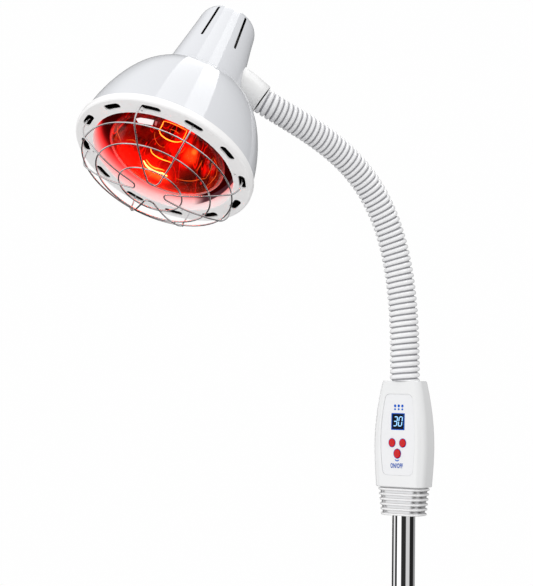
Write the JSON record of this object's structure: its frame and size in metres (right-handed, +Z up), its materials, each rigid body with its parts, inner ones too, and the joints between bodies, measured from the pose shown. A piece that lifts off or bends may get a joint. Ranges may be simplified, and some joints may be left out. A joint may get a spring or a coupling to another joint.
{
  "type": "infrared heat therapy lamp",
  "caption": "Free-standing infrared heat lamp: caged reflector bulb in a ventilated bell shade, ribbed gooseneck, timer control box, telescopic chrome mast and round weighted base.",
  "frame": {"origin": "on the floor under the axis of the mast, at the centre of the round base", "axes": "+Z up along the mast; -Y is the way the control panel faces; +X to the right of a person facing the panel"},
  "size_m": [0.404, 0.4748, 1.0673],
  "materials": {
    "base_paint": "gloss white enamel",
    "cast_iron": "raw",
    "zinc_steel": "zinc plated",
    "rubber": "matt",
    "chrome": "polished",
    "chrome_wire": "polished wire",
    "white_plastic": "fine satin",
    "white_gloss": "gloss",
    "white_satin": "satin",
    "sleeve_white": "gloss, ribbed",
    "shade_white": "gloss white enamel",
    "reflector_white": "heat-proof white enamel",
    "black_plastic": "fine texture",
    "switch_black": "moulded",
    "nylon": "natural",
    "panel_film": "printed film",
    "display_lens": "polished",
    "display_light": "lit digits",
    "circuit_board": "solder mask",
    "button_red": "gloss",
    "bulb_red": "stained glass, silvered behind",
    "clear_glass": "clear",
    "filament": "tungsten",
    "brass": "pressed",
    "ceramic": "glazed"
  },
  "bodies": {
    "base": {"base_cover": "base_paint", "base_weight": "cast_iron", "base_plate": "zinc_steel", "base_feet": "rubber", "hub_cap": "rubber", "base_nut": "zinc_steel", "lower_tube": "chrome", "clamp_collar": "white_plastic"},
    "knob": {"clamp_knob": "black_plastic"},
    "bush": {"guide_bush": "nylon"},
    "mast": {"upper_tube": "chrome", "ribbed_collar": "white_gloss", "front_shell": "white_gloss", "rear_shell": "white_gloss", "shell_screws": "zinc_steel", "keypad_panel": "panel_film", "display_window": "display_lens", "display_module": "display_light", "control_board": "circuit_board", "tact_switches": "switch_black", "power_board": "circuit_board", "terminal_block": "nylon", "tube_socket": "zinc_steel", "neck_nut": "zinc_steel", "cable_gland": "black_plastic", "sleeve_0": "sleeve_white", "conduit_0": "zinc_steel"},
    "btn_left": {"button_left": "button_red"},
    "btn_right": {"button_right": "button_red"},
    "btn_power": {"button_power": "button_red"},
    "neck1": {"sleeve_1": "sleeve_white", "conduit_1": "zinc_steel"},
    "neck2": {"sleeve_2": "sleeve_white", "conduit_2": "zinc_steel"},
    "neck3": {"sleeve_3": "sleeve_white", "conduit_3": "zinc_steel"},
    "neck4": {"sleeve_4": "sleeve_white", "conduit_4": "zinc_steel"},
    "neck5": {"sleeve_5": "sleeve_white", "conduit_5": "zinc_steel"},
    "arm": {"sleeve_6": "sleeve_white", "conduit_6": "zinc_steel", "connector": "white_satin", "connector_nut": "zinc_steel"},
    "head": {"neck_cover": "shade_white", "neck_saddle": "zinc_steel", "neck_screws": "zinc_steel", "shade_bell": "shade_white", "inner_reflector": "reflector_white", "front_ring": "shade_white", "guard_rings": "chrome_wire", "guard_hairpins": "chrome_wire", "bulb_glass": "bulb_red", "bulb_cap": "brass", "bulb_stem": "clear_glass", "bulb_filament": "filament", "lamp_socket": "ceramic", "socket_bracket": "zinc_steel", "socket_screws": "zinc_steel"}
  },
  "joints": [
    {"name": "clamp_knob_turn", "type": "hinge", "parent": "base", "child": "knob", "pos_m": [0.03, 0, 0.413], "axis": [1, 0, 0], "range_deg": [-60, 60]},
    {"name": "mast_slide", "type": "slide", "parent": "base", "child": "bush", "axis": [0, 0, 1], "range_m": [0, 0.28]},
    {"name": "mast_turn", "type": "hinge", "parent": "bush", "child": "mast", "pos_m": [0, 0, 0.5], "axis": [0, 0, 1], "range_deg": [-170, 170]},
    {"name": "press_left", "type": "slide", "parent": "mast", "child": "btn_left", "axis": [0, 1, 0], "range_m": [0, 0.0008], "stiffness_N_per_m": 1500, "springref_m": -0.0008},
    {"name": "press_right", "type": "slide", "parent": "mast", "child": "btn_right", "axis": [0, 1, 0], "range_m": [0, 0.0008], "stiffness_N_per_m": 1500, "springref_m": -0.0008},
    {"name": "press_power", "type": "slide", "parent": "mast", "child": "btn_power", "axis": [0, 1, 0], "range_m": [0, 0.0008], "stiffness_N_per_m": 1500, "springref_m": -0.0008},
    {"name": "gooseneck_bend_low", "type": "hinge", "parent": "mast", "child": "neck1", "pos_m": [-0.00044, 0, 0.707], "axis": [0.8189, -0.5739, 0], "range_deg": [-9, 8]},
    {"name": "gooseneck_sway", "type": "hinge", "parent": "neck1", "child": "neck2", "pos_m": [-0.00403, -0.00167, 0.76784], "axis": [0.5705, 0.8141, 0.1087], "range_deg": [-12, 12]},
    {"name": "gooseneck_bend", "type": "hinge", "parent": "neck2", "child": "neck3", "pos_m": [-0.0131, -0.00989, 0.8275], "axis": [0.8189, -0.5739, 0], "range_deg": [-18, 16]},
    {"name": "gooseneck_sway_mid", "type": "hinge", "parent": "neck3", "child": "neck4", "pos_m": [-0.03003, -0.0316, 0.88159], "axis": [0.4557, 0.6502, 0.608], "range_deg": [-12, 12]},
    {"name": "gooseneck_bend_high", "type": "hinge", "parent": "neck4", "child": "neck5", "pos_m": [-0.05454, -0.06965, 0.92199], "axis": [0.8189, -0.5739, 0], "range_deg": [-18, 16]},
    {"name": "gooseneck_sway_high", "type": "hinge", "parent": "neck5", "child": "arm", "pos_m": [-0.08395, -0.11532, 0.9496], "axis": [0.2377, 0.3391, 0.9102], "range_deg": [-12, 12]},
    {"name": "head_swivel", "type": "hinge", "parent": "arm", "child": "head", "pos_m": [-0.10447, -0.14023, 0.96562], "axis": [-0.6774, -0.4617, 0.5726], "range_deg": [-35, 35]}
  ],
  "couplings": [
    {"joint": "gooseneck_bend_low", "follows": "gooseneck_bend", "ratio": 0.5},
    {"joint": "gooseneck_bend_high", "follows": "gooseneck_bend", "ratio": 1},
    {"joint": "gooseneck_sway_mid", "follows": "gooseneck_sway", "ratio": 1},
    {"joint": "gooseneck_sway_high", "follows": "gooseneck_sway", "ratio": 1}
  ]
}
